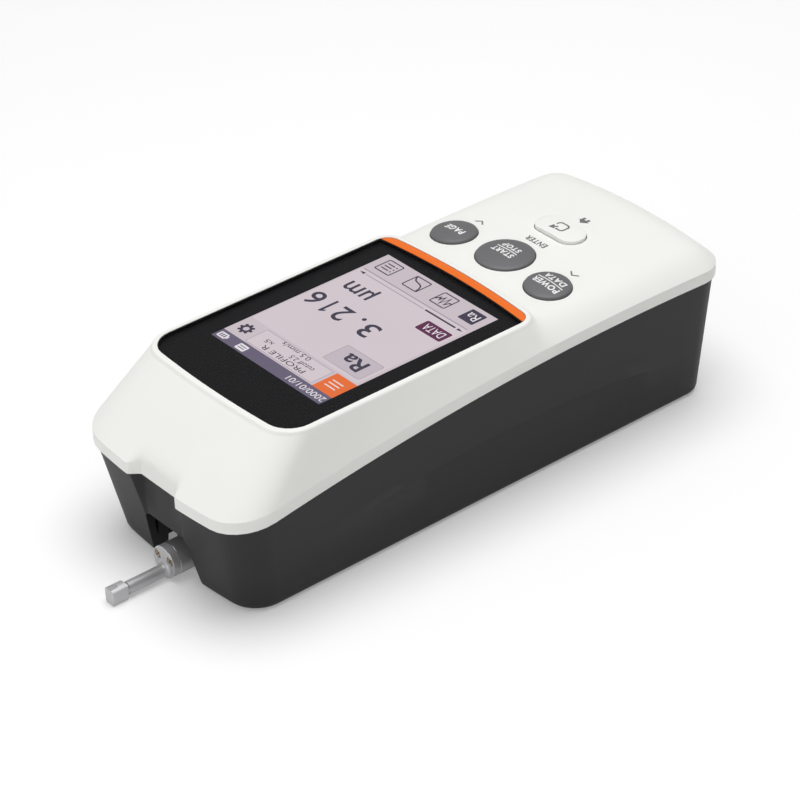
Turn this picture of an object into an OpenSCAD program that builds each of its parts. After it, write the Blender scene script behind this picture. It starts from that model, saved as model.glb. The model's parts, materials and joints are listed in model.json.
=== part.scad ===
// Portable surface roughness tester. A hand-held display unit carries a drive unit in a bay
// that is open underneath, and the drive unit draws a skidded stylus detector over the work.
// +Y points to the detector, +Z up, and the origin is under the middle of the whole length.

/* [Case] */
// Length of the case over the lip
case_len = 165.2; // [155:0.2:185]
// Width of the case over the lip
case_w = 66.5; // [64:0.5:74]
// Height of the rim round the display window
case_h = 47.7; // [46:0.1:54]
// Wall of the two mouldings
wall = 2; // [1.6:0.1:2.6]
// Height of the lip band of the cover
lip_h = 3.3; // [2.5:0.1:4.5]
// How far the lip stands out over the case
lip_overhang = 0.7; // [0.3:0.1:1.2]
// Seam between cover and case
seam = 0.3; // [0.2:0.05:0.5]
// Height of the parting line at the front
parting_front = 26.9; // [25:0.1:29]
// Highest point of the parting line
parting_top = 37.9; // [36:0.1:38.2]
// Highest point of the parting line, from the rear
parting_peak = 40; // [36:1:60]
// How far the base is narrower than the lip, each side
side_draft = 4.9; // [3:0.1:6]
// How far the base stands behind the lip, at the front
front_draft = 6.4; // [5:0.1:8]
// How far the base stands ahead of the lip, at the rear
rear_draft = 3.6; // [2.5:0.1:6]
// Rounding round the base
base_round = 2; // [1:0.1:2.5]
// Depth of the grip arch in each side
grip_depth = 0.8; // [0.3:0.1:1.1]
// Height of the grip arch
grip_top = 20.3; // [16:0.1:23]

/* [Display] */
// Half width of the window
window_hw = 28; // [26.5:0.1:28.4]
// Length of the window with its trim
window_len = 80.5; // [78:0.1:88]
// From the front of the case to the window
window_setback = 20.2; // [16:0.1:23]
// Thickness of the window
window_t = 1; // [0.8:0.1:1.5]
// How far the window lies below the rim
window_sink = 0.1; // [0.05:0.05:0.4]
// Width of the rim round the window
rim_w = 1.6; // [1.2:0.1:2]
// Width of the trim at its middle
trim_w = 2.6; // [2:0.1:4]
// Visible screen width
screen_w = 43.2; // [38:0.1:44]
// Visible screen length
screen_len = 57.6; // [50:0.1:60]
// Middle of the screen, from the front end of the window
screen_setback = 44.8; // [42:0.1:46.4]
// Thickness of the display module
panel_t = 2.4; // [2:0.1:3]
// Thickness of the main board
board_t = 1.6; // [1:0.1:2]

/* [Keys] */
// Radius of the middle key
start_r = 7.8; // [6.5:0.1:8.5]
// Radius of the side keys
side_key_r = 6.2; // [5:0.1:7]
// Side keys, from the side of the case
side_key_inset = 15.05; // [13.5:0.05:16.5]
// Middle key, from the rear of the window
start_back = 14.3; // [13:0.1:16]
// Side keys, from the rear of the window
side_key_back = 12.6; // [11.5:0.1:14]
// Enter key, from the rear of the window
enter_back = 33.5; // [31:0.1:38]
// Length of the enter key
enter_len = 15.8; // [13:0.1:18]
// Width of the enter key
enter_w = 8.4; // [7:0.1:9.5]
// How far a key stands out of the deck
key_proud = 1.4; // [1:0.1:1.8]
// Travel of a key
key_travel = 0.6; // [0.3:0.1:0.8]
// Gap round a key
key_gap = 0.25; // [0.15:0.05:0.4]

/* [Drive unit] */
// Length of the drive unit
drive_len = 115; // [110:1:120]
// Width of the drive unit
drive_w = 23; // [21:0.5:25]
// Height of the drive unit
drive_h = 26; // [24:0.5:26.5]
// From the front of the case to the drive unit
drive_setback = 14.6; // [13:0.1:17]
// Wall of the drive unit
drive_wall = 1.6; // [1.2:0.1:2]
// Room beside the drive unit
bay_side_gap = 2.9; // [1.5:0.1:3.5]
// Height of the lead screw over the base
screw_z = 15; // [14:0.1:17]
// Radius of the lead screw
screw_r = 1.5; // [1.2:0.1:2]
// Radius of the guide rods
rod_r = 1.5; // [1.2:0.1:1.8]
// Guide rods, from the middle line
rod_x = 6.5; // [5:0.1:7.2]
// Height of the guide rods over the lead screw
rod_rise = 4; // [3:0.1:5]
// Radius of the motor
motor_r = 6; // [5:0.1:6.5]
// Length of the motor
motor_len = 20; // [15:0.5:24]
// Length of the gearbox
gearbox_len = 16; // [12:0.5:20]
// Length of the carriage
carriage_len = 20; // [16:0.5:22]
// Travel of the detector
traverse = 17.5; // [12:0.5:17.5]
// Running clearance of shafts
run_gap = 0.05; // [0.02:0.01:0.08]

/* [Detector] */
// How far the detector reaches out of the case
reach = 14.4; // [12:0.1:20]
// Radius of the detector barrel
barrel_r = 4.35; // [3.8:0.05:4.4]
// Height of the barrel's axis over the base
barrel_z = 4.6; // [4.6:0.05:5]
// Length of the flange of the nose
flange_t = 2.2; // [1.8:0.1:3]
// Length of the skid block
skid_len = 4.4; // [4:0.1:6]
// Width of the skid block
skid_w = 3.4; // [3.2:0.1:4.4]
// Height of the skid block
skid_h = 4.7; // [4.4:0.1:6]
// Radius of the nose rod
nose_r = 1.7; // [1.6:0.05:2]
// Length of the nose rod from flange to block
nose_len = 12.4; // [10:0.1:16]
// Length of the barrel behind the flange
barrel_len = 27; // [24:0.5:30]
// Radius of the stylus arm
arm_r = 0.45; // [0.35:0.05:0.6]
// Half width of the front notch at the base
notch_hw = 10.2; // [8.5:0.1:11]
// How far the front notch narrows to its top, each side
notch_taper = 1.8; // [1:0.1:3]
// Height of the front notch
notch_h = 15; // [13:0.1:18]

/* [Hidden] */
$fn = 48;
eps = 0.01;
// How far a cutting shape runs past what it cuts
over = 1;

// Ends of the case and of the detector
y_rear = -(case_len + reach) / 2;
y_front = y_rear + case_len;
y_tip = y_front + reach;

// Plan outlines: half width, rear end, front end, rear and front corner radius, rear and front bow
lip_ends = [8, 10.5, 2.6, 2.3];
base_ends = [5.5, 7.5, 1.5, 2];
window_ends = [3.6, 6.5, 1.7, 1.3];
lip_plan = concat([case_w / 2, y_rear, y_front], lip_ends);
case_plan = inset(lip_plan, lip_overhang);
base_plan = concat([case_w / 2 - side_draft, y_rear + rear_draft, y_front - front_draft], base_ends);
window_y1 = y_front - window_setback;
window_y0 = window_y1 - window_len;
recess_plan = concat([window_hw, window_y0, window_y1], window_ends);
rim_plan = inset(recess_plan, -rim_w);

// Parting line: one long arc over the length of the case
parting_y = y_rear + parting_peak;
parting_rise = parting_top - parting_front;
parting_r = (pow(y_front - parting_y, 2) + pow(parting_rise, 2)) / (2 * parting_rise);

// Deck behind the window: crowned across and along, with a rounded shoulder at the lip
deck_drop = 0.5;
deck_z0 = case_h - deck_drop;
deck_r = 1400;
crown_r = 300;
shoulder_w = 8.6;
flank_lead = 8;
flank_run = 18;
flank_from = window_y0 - flank_lead;
flank_to = flank_from + flank_run;
rim_fall = 1.6;
rim_round = 0.8;
rim_blend = 0.8;

// Window, display and board, from the top down
window_z1 = case_h - window_sink;
window_z0 = window_z1 - window_t;
fit_gap = 0.15;
accent_r = 230;
accent_y = window_y0 + trim_w + accent_r;
ledge_t = 1.5;
panel_gap = 0.05;
panel_edge = 3;
screen_sink = 0.1;
panel_z1 = window_z0 - panel_gap;
panel_z0 = panel_z1 - panel_t;
screen_y = window_y1 - screen_setback;
panel_w = screen_w + 2 * panel_edge;
panel_len = screen_len + 2 * panel_edge;
frame_h = 4.2;
frame_t = 1.5;
board_z1 = panel_z0 - frame_h;
board_z0 = board_z1 - board_t;
board_edge = 3;
board_w = 2 * (window_hw - board_edge);
post_r = 2.2;
post_gap = 1.2;
post_inset = 3;
post_x = board_w / 2 - post_inset;
post_y1 = screen_y + panel_len / 2 + post_gap + post_r;
post_y0 = window_y0 - enter_back;
board_setback = 12;
board_y1 = post_y1 + post_inset;
board_y0 = y_rear + board_setback;
board_screw_r = 1;
board_grip = 2;
board_head = 1.2;
board_head_r = 1.9;
hole_gap = 0.1;

// Keys: place on the deck and the pieces under them
key_t = wall + key_proud;
key_dome = 4.2;
enter_dome = 3;
key_lip = 0.8;
key_flange_t = 1;
seat_gap = 0.1;
key_room = 3;
side_key_x = case_w / 2 - side_key_inset;
start_y = window_y0 - start_back;
side_key_y = window_y0 - side_key_back;
enter_y = window_y0 - enter_back;
key_bottom = wall + seat_gap + key_flange_t;
mat_t = 1.2;
mat_inset = 6;
mat_setback = 4;
dome_r = 3;
dome_h = 10;
dome_gap = key_travel + 0.15;

// Drive unit in its bay
drive_y1 = y_front - drive_setback;
drive_y0 = drive_y1 - drive_len;
drive_z0 = 0.8;
drive_z1 = drive_z0 + drive_h;
bay_hw = drive_w / 2 + bay_side_gap;
bay_rear_gap = 2;
bay_front_gap = 3.8;
bay_y0 = drive_y0 - bay_rear_gap;
bay_y1 = drive_y1 + bay_front_gap;
bay_wall = 1.6;
notch_round = 1.8;
notch_frame = 4;
bay_roof = drive_z1 + bay_wall;
inner_hw = drive_w / 2 - drive_wall;
inner_z1 = drive_z1 - drive_wall;
end_wall = 2;
rod_z = screw_z + rod_rise;
base_t = 1.2;
barrel_gap = 0.35;
screw_end_gap = 0.3;

// Detector and carriage along the axis
skid_y0 = y_tip - skid_len;
flange_y1 = skid_y0 - nose_len;
flange_y0 = flange_y1 - flange_t;
barrel_y0 = flange_y0 - barrel_len;
shank_r = 3.2;
shank_len = 10;
socket_wall = 1.6;
carriage_gap = 0.6;
carriage_y1 = barrel_y0 - 0.4;
carriage_y0 = carriage_y1 - carriage_len;
carriage_hw = inner_hw - carriage_gap;
carriage_z0 = 1.3;
carriage_z1 = rod_z + rod_r + 2;
nut_drop = 4;
bearing_t = 4;
end_stop = 1.5;
bearing_y1 = carriage_y0 - traverse - end_stop;
bearing_y0 = bearing_y1 - bearing_t;
gearbox_y0 = bearing_y0 - gearbox_len;
motor_y0 = gearbox_y0 - motor_len;
motor_nose = 1.5;
screw_grip = 4;
nose_z = 2.35;
channel_r = 1.1;
cavity_r = 3.3;
cavity_len = 20;
pivot_back = 8;
pivot_y = flange_y0 - pivot_back;
pivot_r = 0.4;
pin_sink = 0.2;
hub_r = 0.72;
hub_w = 1.2;
arm_tail = 8.5;
arm_lead = 0.7;
coil_back = 7;
coil_r = 1.5;
coil_gap = 0.6;
nose_flare = 1.1;
neck_cut = 0.3;
neck_len = 0.9;
nose_screw_x = 2.45;
nose_screw_z = barrel_z + 1.3;
nose_screw_r = 0.9;
nose_head_r = 1.25;
nose_head_sink = 0.15;
nose_bore_depth = 0.9;
skid_r = 40;
skid_top_r = 2.75;
skid_edge_r = 0.9;
skid_flat_r = 0.95;
skid_flat_len = 1.3;
skid_flat_cut = 0.35;
tip_r = 0.25;
tip_hole_r = 0.55;
tip_y = skid_y0 + skid_len / 2;
tip_z = 0.25;

// Screws that hold the case together
screw_inset = 9.5;
screw_front = 21;
screw_rear = 15;
screw_x = case_w / 2 - screw_inset;
screw_front_y = y_front - screw_front;
screw_rear_y = y_rear + screw_rear;
boss_r = 3.6;
screw_seat_z = 18;
boss_z1 = 25.5;
screw_shank_r = 1.5;
screw_len = 12;
head_r = 2.7;
head_t = 2.2;
head_gap = 0.3;
boss_gap = 0.8;
key_hex_r = 1.2;
key_hex_depth = 1.2;

// Grip arch along each side
grip_arc = 320;
grip_low = 3 * base_round;
grip_step = 0.7;
grip_y = (y_rear + y_front) / 2 - 6;
grip_y0 = y_rear + 14;
grip_y1 = y_front - 24;
grip_run_in = 25;
grip_run_out = 45;

// Battery and rear sockets
cell_r = 7.2;
battery_w = 38;
battery_gap = 0.6;
battery_y = bay_y0 - bay_wall - cell_r - battery_gap;
socket_w = 26;
socket_h = 8;
socket_z = 25.5;
socket_r = 2;
socket_depth = 6;
socket_board_gap = 1.6;
socket_board_edge = 1;
plug_gap = 0.2;
plug_sink = 0.5;
plug_tab_w = 9;
plug_tab_h = 2.2;
plug_tab_t = 0.6;

function mix(a, b, t) = a + (b - a) * t;
function clamp01(t) = max(0, min(1, t));
function smooth(a, b, v) = let (t = clamp01((v - a) / (b - a))) t * t * (3 - 2 * t);
function smooth_max(a, b, k) = let (h = clamp01(0.5 + (a - b) / (2 * k))) mix(b, a, h) + k * h * (1 - h);
function inset(p, d) =
    [p[0] - d, p[1] + d, p[2] - d, max(0.6, p[3] - d), max(0.6, p[4] - d), p[5], p[6]];

// First and last y of the straight side of a plan outline
function side_start(p) = p[1] + p[3] + p[5];
function side_end(p) = p[2] - p[4] - p[6];

// Points on the rear half-end, on a corner and on a side
n_rear = 8;
n_corner = 7;
n_deck_side = 6;
n_turn = 7;
n_flank = 13;

// Shares of the front half-end from its corner to the middle, closer at the step of the indent
front_shares = concat([1, 0.85, 0.7, 0.57], [for (i = [0:7]) mix(0.48, 0.3, i / 7)], [0.2, 0.1, 0]);

// Shares along a lip side: the deck's stretch, the turn beside the window's corner, the flank
turn_lead = 12;
turn_lag = 3;
lip_side = side_end(lip_plan) - side_start(lip_plan);
turn = [for (y = [window_y0 - turn_lead, window_y0 + turn_lag]) (y - side_start(lip_plan)) / lip_side];
lip_shares = concat(
    [for (i = [0:n_deck_side - 1]) turn[0] * i / n_deck_side],
    [for (i = [0:n_turn - 1]) mix(turn[0], turn[1], i / n_turn)],
    [for (i = [0:n_flank - 1]) mix(turn[1], 1, i / n_flank)]);
rim_shares = [for (i = [0:n_flank - 1]) i / n_flank];
n_side = n_deck_side + n_turn + n_flank;
even_shares = [for (i = [0:n_side - 1]) i / n_side];

// Shares of the way from lip to rim, closer at the shoulder and at the rim
cover_shares = [0, 0.018, 0.04, 0.07, 0.11, 0.16, 0.25, 0.4, 0.56, 0.72, 0.85, 0.93, 0.975, 1];

// Right half of a plan outline from rear middle to front middle
function half_outline(p, rear, shares) = let (
    hw = p[0], r0 = p[3], r1 = p[4],
    bow0 = function (x) p[5] * pow(x / hw, 2),
    bow1 = function (x) p[6] * pow(x / hw, 2))
    concat(
        [for (i = [0:rear - 1]) let (x = (hw - r0) * i / rear) [x, p[1] + bow0(x)]],
        [for (i = [0:n_corner - 1]) let (a = 90 * i / n_corner, x = hw - r0 + r0 * sin(a))
            [x, p[1] + r0 * (1 - cos(a)) + bow0(x)]],
        [for (t = shares) [hw, mix(side_start(p), side_end(p), t)]],
        [for (i = [0:n_corner - 1]) let (a = 90 * i / n_corner, x = hw - r1 + r1 * cos(a))
            [x, p[2] - r1 * (1 - sin(a)) - bow1(x)]],
        [for (t = front_shares) let (x = (hw - r1) * t) [x, p[2] - bow1(x)]]);

// Whole outline, counter-clockwise seen from above
function mirror_half(half) = concat(half, [for (i = [len(half) - 2:-1:1]) [-half[i].x, half[i].y]]);
function outline(p, shares = even_shares) = mirror_half(half_outline(p, n_rear, shares));
// The same for the rim, whose rear end answers to the lip's rear end, corner and deck stretch
function rim_outline(p) = mirror_half(half_outline(p, n_rear + n_corner + n_deck_side, rim_shares));

// Indent in the middle of the front, lip and case alike
recess_depth = 2.9;
recess_hw = 7.6;
recess_flare = 1.25;
recess_blend = 0.5;
recess_fade = 0.25;
function recess_y(x) = y_front - recess_depth + recess_flare * max(0, abs(x) - recess_hw);
function indented(p, d) = [p.x, -smooth_max(-p.y, d - recess_y(p.x), recess_blend), p.z];
// How far the indent pulls a lip point back, at the share t of the way from lip to rim
function scoop(p, d, t) = (p.y - indented([p.x, p.y, 0], d).y) * pow(clamp01(1 - t / recess_fade), 2);

// Distance of a point inside a plan outline
function depth_in(p, x, y) = let (
    s = pow(x / p[0], 2),
    front = y > (p[1] + p[2]) / 2,
    r = front ? p[4] : p[3],
    end = front ? p[2] - p[6] * s - y : y - p[1] - p[5] * s,
    q = [r - p[0] + abs(x), r - end])
    r - norm([max(q.x, 0), max(q.y, 0)]) - min(max(q.x, q.y), 0);

function parting_z(y) = parting_top - parting_r + sqrt(pow(parting_r, 2) - pow(y - parting_y, 2));
function lip_z(y) = parting_z(y) + lip_h;
function deck_z(x, y) = deck_z0 - pow(window_y0 - y, 2) / (2 * deck_r) - x * x / (2 * crown_r);

// Height of the cover at a plan point that lies the share t of the way from lip to rim
function cover_z(x, y, lip_y, t) = let (
    shoulder = pow(1 - clamp01(depth_in(lip_plan, x, y) / shoulder_w), 2),
    deck = mix(deck_z(x, y), lip_z(y), shoulder),
    stepped = smooth_max(deck, case_h - rim_round + rim_fall * depth_in(rim_plan, x, y), rim_blend),
    flank = mix(lip_z(lip_y), case_h - rim_round, t))
    mix(stepped, flank, smooth(flank_from, flank_to, y));

// Rings of the cover from the parting line over lip, flank and deck, and over the round of the rim
function cover_rings(d, shares, turns) = let (
    lip = outline(inset(lip_plan, d), lip_shares),
    rim = rim_outline(inset(rim_plan, d)),
    foot = [for (i = [0:len(lip) - 1]) cover_z(rim[i].x, rim[i].y, lip[i].y, 1)])
    concat(
        [[for (p = lip) indented([p.x, p.y, parting_z(p.y)], d)]],
        [for (t = shares) [for (i = [0:len(lip) - 1]) let (p = mix(lip[i], rim[i], t))
            [p.x, p.y - scoop(lip[i], d, t), cover_z(p.x, p.y, lip[i].y, t) - d]]],
        [for (a = turns) let (crest = rim_outline(inset(rim_plan, d + rim_round * (1 - cos(a)))))
            [for (i = [0:len(crest) - 1]) [crest[i].x, crest[i].y, mix(foot[i], case_h, sin(a)) - d]]]);

// Height of the grip arch along the side, and its share of depth
function arch_z(y) = max(grip_low, grip_top - pow(y - grip_y, 2) / (2 * grip_arc));
function grip_share(y) =
    smooth(grip_y0, grip_y0 + grip_run_in, y) * (1 - smooth(grip_y1 - grip_run_out, grip_y1, y));

// One ring of the case: a share of the way up the drafted wall, drawn in by d and by the grip
function case_ring(d, height, grip) = let (
    base = outline(inset(base_plan, d)),
    top = outline(inset(case_plan, d)))
    [for (i = [0:len(base) - 1]) let (
        z_top = parting_z(top[i].y) - seam,
        z = height(top[i].y),
        p = mix(base[i], top[i], z / z_top),
        pull = grip * grip_depth * grip_share(p.y) * min(1, abs(p.x) / base_plan[0]))
        indented([p.x - sign(p.x) * pull, p.y, z], d + lip_overhang)];

function case_top(y) = parting_z(y) - seam;

// Closed shell between an outer and an inner stack of rings, joined at the first ring of each
module ring_shell(outer, inner, flip = false) {
    n = len(outer[0]);
    no = len(outer);
    ni = len(inner);
    start = no * n;
    function quad(a, b, c, d) = [[a, b, c], [a, c, d]];
    outer_sides = [for (k = [0:no - 2], i = [0:n - 1]) let (j = (i + 1) % n)
        each quad(k * n + i, (k + 1) * n + i, (k + 1) * n + j, k * n + j)];
    inner_sides = [for (k = [0:ni - 2], i = [0:n - 1]) let (j = (i + 1) % n)
        each quad(start + k * n + i, start + k * n + j, start + (k + 1) * n + j, start + (k + 1) * n + i)];
    mouth = [for (i = [0:n - 1]) let (j = (i + 1) % n) each quad(i, j, start + j, start + i)];
    outer_cap = [for (i = [n - 1:-1:0]) (no - 1) * n + i];
    inner_cap = [for (i = [0:n - 1]) start + (ni - 1) * n + i];
    faces = concat(outer_sides, inner_sides, mouth, [outer_cap, inner_cap]);
    polyhedron(
        concat([for (r = outer) each r], [for (r = inner) each r]),
        flip ? [for (f = faces) [for (i = [len(f) - 1:-1:0]) f[i]]] : faces, convexity = 8);
}

module plan(p) { polygon(outline(p)); }

// Plate of a plan outline between two heights
module slab(p, z0, z1) { translate([0, 0, z0]) linear_extrude(z1 - z0) plan(p); }

module block(x0, x1, y0, y1, z0, z1) { translate([x0, y0, z0]) cube([x1 - x0, y1 - y0, z1 - z0]); }

// Cylinder along Y from y0 to y1
module rod(r, y0, y1, x = 0, z = 0) {
    translate([x, y0, z]) rotate([-90, 0, 0]) cylinder(r = r, h = y1 - y0);
}

module mirrored() { children(); mirror([1, 0, 0]) children(); }

// Places children on the deck at a plan point, with +Z along the deck's normal
module on_deck(x, y) {
    tilt = [atan((window_y0 - y) / deck_r), atan(x / crown_r), 0];
    translate([x, y, deck_z(x, y)]) rotate(tilt) children();
}

// Plan of the oblong key, larger by d
module oblong(d) {
    r = enter_w / 2;
    mirrored() translate([enter_len / 2 - r, 0]) circle(r + d);
    square([enter_len - 2 * r, enter_w + 2 * d], center = true);
}

// Hole and inner seat of a round key in the cover
module key_hole(r) {
    translate([0, 0, -key_bottom - key_room]) {
        cylinder(r = r + key_gap, h = key_bottom + 2 * key_room);
        cylinder(r = r + key_lip + 2 * key_gap, h = key_bottom + key_room - wall);
    }
}

module enter_hole() {
    translate([0, 0, -key_bottom - key_room]) {
        linear_extrude(key_bottom + 2 * key_room) oblong(key_gap);
        linear_extrude(key_bottom + key_room - wall) oblong(key_lip + 2 * key_gap);
    }
}

module all_key_holes() {
    on_deck(0, start_y) key_hole(start_r);
    for (s = [-1, 1]) on_deck(s * side_key_x, side_key_y) key_hole(side_key_r);
    on_deck(0, enter_y) enter_hole();
}

module case_screw_places() {
    for (x = [-screw_x, screw_x], y = [screw_rear_y, screw_front_y]) translate([x, y, 0]) children();
}

module board_post_places() {
    for (x = [-post_x, post_x], y = [post_y0, post_y1]) translate([x, y, 0]) children();
}

// Solid of the cover without its cavity, as a limit for bosses
module cover_limit() {
    rings = cover_rings(wall / 2, [0, 0.1, 0.3, 0.6, 0.9, 1], [90]);
    n = len(rings[0]);
    stack = concat([[for (p = rings[0]) [p.x, p.y, boss_z1 - over]]], rings);
    sides = [for (k = [0:len(stack) - 2], i = [0:n - 1]) let (j = (i + 1) % n)
        each [[k * n + i, (k + 1) * n + i, (k + 1) * n + j], [k * n + i, (k + 1) * n + j, k * n + j]]];
    polyhedron([for (r = stack) each r], concat(sides, [[for (i = [0:n - 1]) i]],
        [[for (i = [n - 1:-1:0]) (len(stack) - 1) * n + i]]), convexity = 6);
}

module top_cover() {
    color("whitesmoke") difference() {
        union() {
            ring_shell(
                cover_rings(0, cover_shares, [30, 60, 90]),
                cover_rings(wall, [0, 0.07, 0.15, 0.3, 0.6, 0.85, 1], [90]));
            slab(inset(recess_plan, -rim_w / 2), window_z0 - ledge_t, window_z0 + eps);
            intersection() {
                union() {
                    case_screw_places() translate([0, 0, boss_z1]) cylinder(r = boss_r, h = case_h);
                    board_post_places() translate([0, 0, board_z1]) cylinder(r = post_r, h = case_h);
                }
                cover_limit();
            }
        }
        slab(recess_plan, window_z0, case_h + over);
        block(-panel_w / 2 - fit_gap, panel_w / 2 + fit_gap, screen_y - panel_len / 2 - fit_gap,
            screen_y + panel_len / 2 + fit_gap, window_z0 - ledge_t - over, window_z0 + over);
        all_key_holes();
        board_post_places() translate([0, 0, board_z1 - over])
            cylinder(r = board_screw_r, h = over + board_grip + screw_end_gap);
        case_screw_places() translate([0, 0, boss_z1 - over])
            cylinder(r = screw_shank_r, h = screw_seat_z + screw_len - boss_z1 + over + screw_end_gap);
    }
}

// Inverted notch in the front wall, wider at the base
module notch() {
    top_hw = notch_hw - notch_taper;
    r = notch_round;
    depth = y_front - bay_y1 + 2 * over;
    translate([0, bay_y1 - over, 0]) rotate([90, 0, 180]) mirror([1, 0, 0]) linear_extrude(depth)
        polygon(concat([[-notch_hw, -over], [notch_hw, -over]],
            [for (a = [10:16:90]) [top_hw - r + r * cos(a), notch_h - r + r * sin(a)]],
            [for (a = [90:16:170]) [r - top_hw + r * cos(a), notch_h - r + r * sin(a)]]));
}

// Room of the drive unit, open below
module bay() { block(-bay_hw, bay_hw, bay_y0, bay_y1, -over, drive_z1); }

// Plate with round corners in the rear opening, smaller by a gap
module socket_plate(gap, y0, y1) {
    w = socket_w - 2 * gap;
    h = socket_h - 2 * gap;
    r = socket_r - gap;
    translate([0, y1, socket_z + socket_h / 2]) rotate([90, 0, 0]) linear_extrude(y1 - y0) {
        square([w - 2 * r, h], center = true);
        square([w, h - 2 * r], center = true);
        for (x = [r - w / 2, w / 2 - r], z = [r - h / 2, h / 2 - r]) translate([x, z]) circle(r);
    }
}

module bottom_case() {
    base_rings = [for (a = [0:22.5:90])
        case_ring(base_round * (1 - sin(a)), function (y) base_round * (1 - cos(a)), 0)];
    color([0.22, 0.22, 0.23]) difference() {
        union() {
            ring_shell(
                concat(
                    [case_ring(0, function (y) case_top(y), 0)],
                    [for (t = [0.72, 0.46, 0.22])
                        case_ring(0, function (y) mix(arch_z(y), case_top(y), t), 0)],
                    [case_ring(0, function (y) arch_z(y), 0)],
                    [case_ring(0, function (y) arch_z(y) - grip_step, 1)],
                    [case_ring(0, function (y) arch_z(y) / 2, 0.45)],
                    [for (i = [len(base_rings) - 1:-1:0]) base_rings[i]]),
                [case_ring(wall, function (y) case_top(y), 0), case_ring(wall, function (y) wall, 0)],
                flip = true);
            block(-bay_hw - bay_wall, bay_hw + bay_wall, bay_y0 - bay_wall, bay_y1 + bay_wall,
                wall / 2, bay_roof);
            intersection() {
                block(-notch_hw - notch_frame, notch_hw + notch_frame, bay_y1, y_front, base_round,
                    notch_h + notch_frame);
                slab(inset(base_plan, wall / 2), 0, case_h);
            }
            case_screw_places() translate([0, 0, wall / 2]) cylinder(r = boss_r, h = boss_z1 - wall / 2);
        }
        bay();
        notch();
        case_screw_places() {
            translate([0, 0, -over]) cylinder(r = head_r + head_gap, h = screw_seat_z + over);
            cylinder(r = screw_shank_r + hole_gap, h = boss_z1 + over);
        }
        socket_plate(0, y_rear - over, y_rear + rear_draft + socket_depth);
    }
}

module display_window() {
    color([0.13, 0.13, 0.14]) translate([0, 0, window_z0]) linear_extrude(window_t) intersection() {
        plan(inset(recess_plan, fit_gap));
        translate([0, accent_y]) circle(accent_r - fit_gap, $fn = 180);
    }
}

module accent_trim() {
    color("darkorange") translate([0, 0, window_z0]) linear_extrude(window_t) difference() {
        plan(inset(recess_plan, fit_gap));
        translate([0, accent_y]) circle(accent_r, $fn = 180);
    }
}

module display_panel() {
    color([0.8, 0.75, 0.78]) difference() {
        block(-panel_w / 2, panel_w / 2, screen_y - panel_len / 2, screen_y + panel_len / 2,
            panel_z0, panel_z1);
        block(-screen_w / 2, screen_w / 2, screen_y - screen_len / 2, screen_y + screen_len / 2,
            panel_z1 - screen_sink, panel_z1 + over);
    }
}

module display_frame() {
    hw = panel_w / 2;
    y0 = screen_y - panel_len / 2;
    y1 = screen_y + panel_len / 2;
    color("silver") difference() {
        block(-hw, hw, y0, y1, board_z1, panel_z0);
        block(frame_t - hw, hw - frame_t, y0 + frame_t, y1 - frame_t, board_z1 - over, panel_z0 + over);
    }
}

module main_board() {
    color("darkgreen") difference() {
        block(-board_w / 2, board_w / 2, board_y0, board_y1, board_z0, board_z1);
        board_post_places() translate([0, 0, board_z0 - over])
            cylinder(r = board_screw_r + hole_gap, h = board_t + 2 * over);
        case_screw_places() translate([0, 0, board_z0 - over])
            cylinder(r = boss_r + boss_gap, h = board_t + 2 * over);
    }
}

module board_screws() {
    color("silver") board_post_places() {
        translate([0, 0, board_z0]) cylinder(r = board_screw_r, h = board_t + board_grip);
        translate([0, 0, board_z0 - board_head]) cylinder(r = board_head_r, h = board_head);
    }
}

// Silicone mat on the board with one dome under each key
module key_mat() {
    color("gray") union() {
        block(mat_inset - board_w / 2, board_w / 2 - mat_inset, enter_y - enter_w / 2,
            window_y0 - mat_setback, board_z1, board_z1 + mat_t);
        for (k = [[0, start_y], [side_key_x, side_key_y], [-side_key_x, side_key_y], [0, enter_y]])
            intersection() {
                on_deck(k.x, k.y) translate([0, 0, -dome_h - key_bottom - dome_gap])
                    cylinder(r = dome_r, h = dome_h);
                block(-board_w / 2, board_w / 2, board_y0, window_y0, board_z1 + mat_t / 2, case_h);
            }
    }
}

// Round key: domed cap, and a flange that the cover holds
module round_key(x, y, r) {
    crown = key_dome * r;
    on_deck(x, y) color([0.38, 0.38, 0.39]) union() {
        intersection() {
            translate([0, 0, -wall - seat_gap]) cylinder(r = r, h = key_t + seat_gap);
            translate([0, 0, key_proud - crown]) sphere(crown, $fn = 180);
        }
        translate([0, 0, -key_bottom]) cylinder(r = r + key_lip, h = key_flange_t);
    }
}

module page_key() { round_key(side_key_x, side_key_y, side_key_r); }

module start_key() { round_key(0, start_y, start_r); }

module power_key() { round_key(-side_key_x, side_key_y, side_key_r); }

module enter_key() {
    crown = enter_dome * enter_len;
    on_deck(0, enter_y) color("white") union() {
        intersection() {
            translate([0, 0, -wall - seat_gap]) linear_extrude(key_t + seat_gap) oblong(0);
            translate([0, 0, key_proud - crown]) sphere(crown, $fn = 96);
        }
        translate([0, 0, -key_bottom]) linear_extrude(key_flange_t) oblong(key_lip);
    }
}

// Two round cells one over the other in a wrap, on the floor of the case
module battery_pack() {
    color("steelblue") translate([-battery_w / 2, battery_y, wall + cell_r]) rotate([90, 0, 90])
        linear_extrude(battery_w) {
            circle(cell_r);
            translate([0, 2 * cell_r]) circle(cell_r);
            translate([-cell_r, 0]) square([2 * cell_r, 2 * cell_r]);
        }
}

// Socket board behind the opening in the rear wall
module connector_board() {
    y = y_rear + rear_draft + socket_board_gap;
    hw = socket_w / 2 + socket_board_edge;
    color("darkgreen")
        block(-hw, hw, y, y + board_t, socket_z - socket_board_edge, socket_z + socket_h + socket_board_edge);
}

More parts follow.
